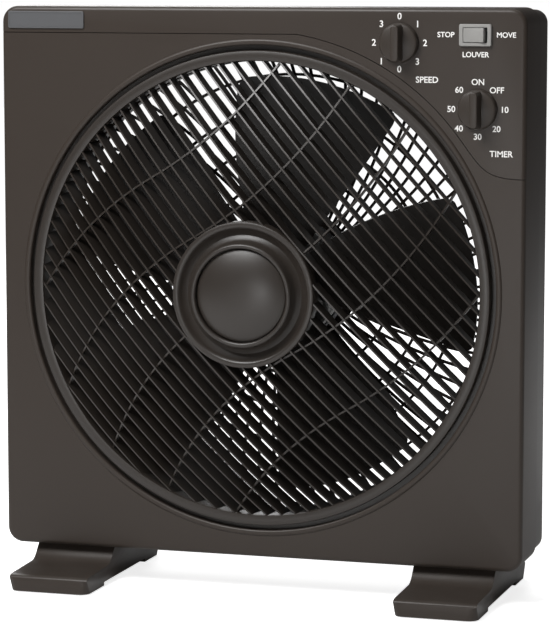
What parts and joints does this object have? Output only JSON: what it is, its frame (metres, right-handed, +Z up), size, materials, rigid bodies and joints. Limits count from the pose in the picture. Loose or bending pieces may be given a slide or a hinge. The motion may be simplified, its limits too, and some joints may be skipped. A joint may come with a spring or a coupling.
{
  "type": "box fan",
  "caption": "Square box fan on two feet, with a turning domed louver wheel before a ducted impeller, two control knobs and a rocker switch.",
  "frame": {"origin": "centre of the object's box in plan, on the surface that the rubber foot pads stand on", "axes": "+X to the right seen from the front, +Y from front to back, +Z up; air leaves towards -Y"},
  "size_m": [0.37, 0.15, 0.401],
  "materials": {
    "case_plastic": "fine moulded grain, warm dark grey",
    "panel_plastic": "fine moulded grain, warm dark grey",
    "louver_plastic": "satin moulded, dark grey",
    "impeller_plastic": "satin moulded, near black",
    "knob_plastic": "satin moulded, near black",
    "rocker_plastic": "satin moulded, light grey",
    "badge_metal": "satin grey, blank",
    "steel": "ground",
    "zinc_steel": "zinc plated, pressed",
    "lamination_steel": "stacked laminations, varnished",
    "copper_winding": "varnished copper wire",
    "bronze": "sintered bushes",
    "black_rubber": "matt black",
    "switch_plastic": "black phenolic",
    "pale_plastic": "off-white nylon"
  },
  "bodies": {
    "housing": {"air_duct": "case_plastic", "badge_plate": "badge_metal", "capacitor": "pale_plastic", "control_panel": "panel_plastic", "cord_gland": "black_rubber", "foot_pad_left_back": "black_rubber", "foot_pad_left_front": "black_rubber", "foot_pad_right_back": "black_rubber", "foot_pad_right_front": "black_rubber", "foot_screw_left_back": "zinc_steel", "foot_screw_left_front": "zinc_steel", "foot_screw_right_back": "zinc_steel", "foot_screw_right_front": "zinc_steel", "front_bearing": "bronze", "front_housing": "case_plastic", "front_winding": "copper_winding", "grille_screw_lower_left": "zinc_steel", "grille_screw_lower_right": "zinc_steel", "grille_screw_upper_left": "zinc_steel", "grille_screw_upper_right": "zinc_steel", "housing_screw_lower_left": "zinc_steel", "housing_screw_lower_right": "zinc_steel", "housing_screw_upper_left": "zinc_steel", "housing_screw_upper_right": "zinc_steel", "left_foot": "case_plastic", "louver_motor": "zinc_steel", "louver_motor_screw_1": "zinc_steel", "louver_motor_screw_2": "zinc_steel", "louver_switch_body": "rocker_plastic", "motor_front_bell": "zinc_steel", "motor_rear_bell": "zinc_steel", "motor_screw_left": "zinc_steel", "motor_screw_right": "zinc_steel", "rear_bearing": "bronze", "rear_grille": "case_plastic", "rear_housing": "case_plastic", "rear_winding": "copper_winding", "right_foot": "case_plastic", "roller_screw_1": "zinc_steel", "roller_screw_2": "zinc_steel", "roller_screw_3": "zinc_steel", "speed_switch_body": "switch_plastic", "stator_core": "lamination_steel", "timer_body": "pale_plastic"},
    "louver": {"louver_wheel": "louver_plastic", "louver_cap": "louver_plastic"},
    "louver_drive": {"louver_drive_wheel": "black_rubber", "louver_motor_shaft": "steel"},
    "roller_top": {"louver_roller_1": "pale_plastic"},
    "roller_left": {"louver_roller_2": "pale_plastic"},
    "roller_right": {"louver_roller_3": "pale_plastic"},
    "fan": {"impeller": "impeller_plastic", "impeller_nut": "knob_plastic", "motor_shaft": "steel", "rotor_core": "lamination_steel"},
    "speed_control": {"speed_knob": "knob_plastic", "speed_shaft": "steel"},
    "timer_control": {"timer_knob": "knob_plastic", "timer_shaft": "steel"},
    "rocker": {"louver_rocker": "rocker_plastic"}
  },
  "joints": [
    {"name": "louver_spin", "type": "hinge", "parent": "housing", "child": "louver", "pos_m": [0, -0.029, 0.2098], "axis": [0, 1, 0], "continuous": true},
    {"name": "louver_drive_spin", "type": "hinge", "parent": "housing", "child": "louver_drive", "pos_m": [-0.12735, -0.029, 0.33715], "axis": [0, 1, 0], "continuous": true},
    {"name": "roller_top_spin", "type": "hinge", "parent": "housing", "child": "roller_top", "pos_m": [0, -0.029, 0.3825], "axis": [0, 1, 0], "continuous": true},
    {"name": "roller_left_spin", "type": "hinge", "parent": "housing", "child": "roller_left", "pos_m": [-0.14956, -0.029, 0.12345], "axis": [0, 1, 0], "continuous": true},
    {"name": "roller_right_spin", "type": "hinge", "parent": "housing", "child": "roller_right", "pos_m": [0.14956, -0.029, 0.12345], "axis": [0, 1, 0], "continuous": true},
    {"name": "impeller_spin", "type": "hinge", "parent": "housing", "child": "fan", "pos_m": [0, -0.029, 0.2098], "axis": [0, 1, 0], "continuous": true},
    {"name": "speed_knob_turn", "type": "hinge", "parent": "housing", "child": "speed_control", "pos_m": [0.0987, -0.029, 0.3777], "axis": [0, 1, 0], "continuous": true},
    {"name": "timer_knob_turn", "type": "hinge", "parent": "housing", "child": "timer_control", "pos_m": [0.1523, -0.029, 0.3343], "axis": [0, 1, 0], "range_deg": [0, 315]},
    {"name": "louver_switch_rock", "type": "hinge", "parent": "housing", "child": "rocker", "pos_m": [0.1505, -0.026, 0.3833], "axis": [0, 0, 1], "range_deg": [0, 16]}
  ],
  "couplings": [
    {"joint": "louver_drive_spin", "follows": "louver_spin", "ratio": -14},
    {"joint": "roller_top_spin", "follows": "louver_spin", "ratio": -37.333},
    {"joint": "roller_left_spin", "follows": "louver_spin", "ratio": -37.333},
    {"joint": "roller_right_spin", "follows": "louver_spin", "ratio": -37.333}
  ]
}
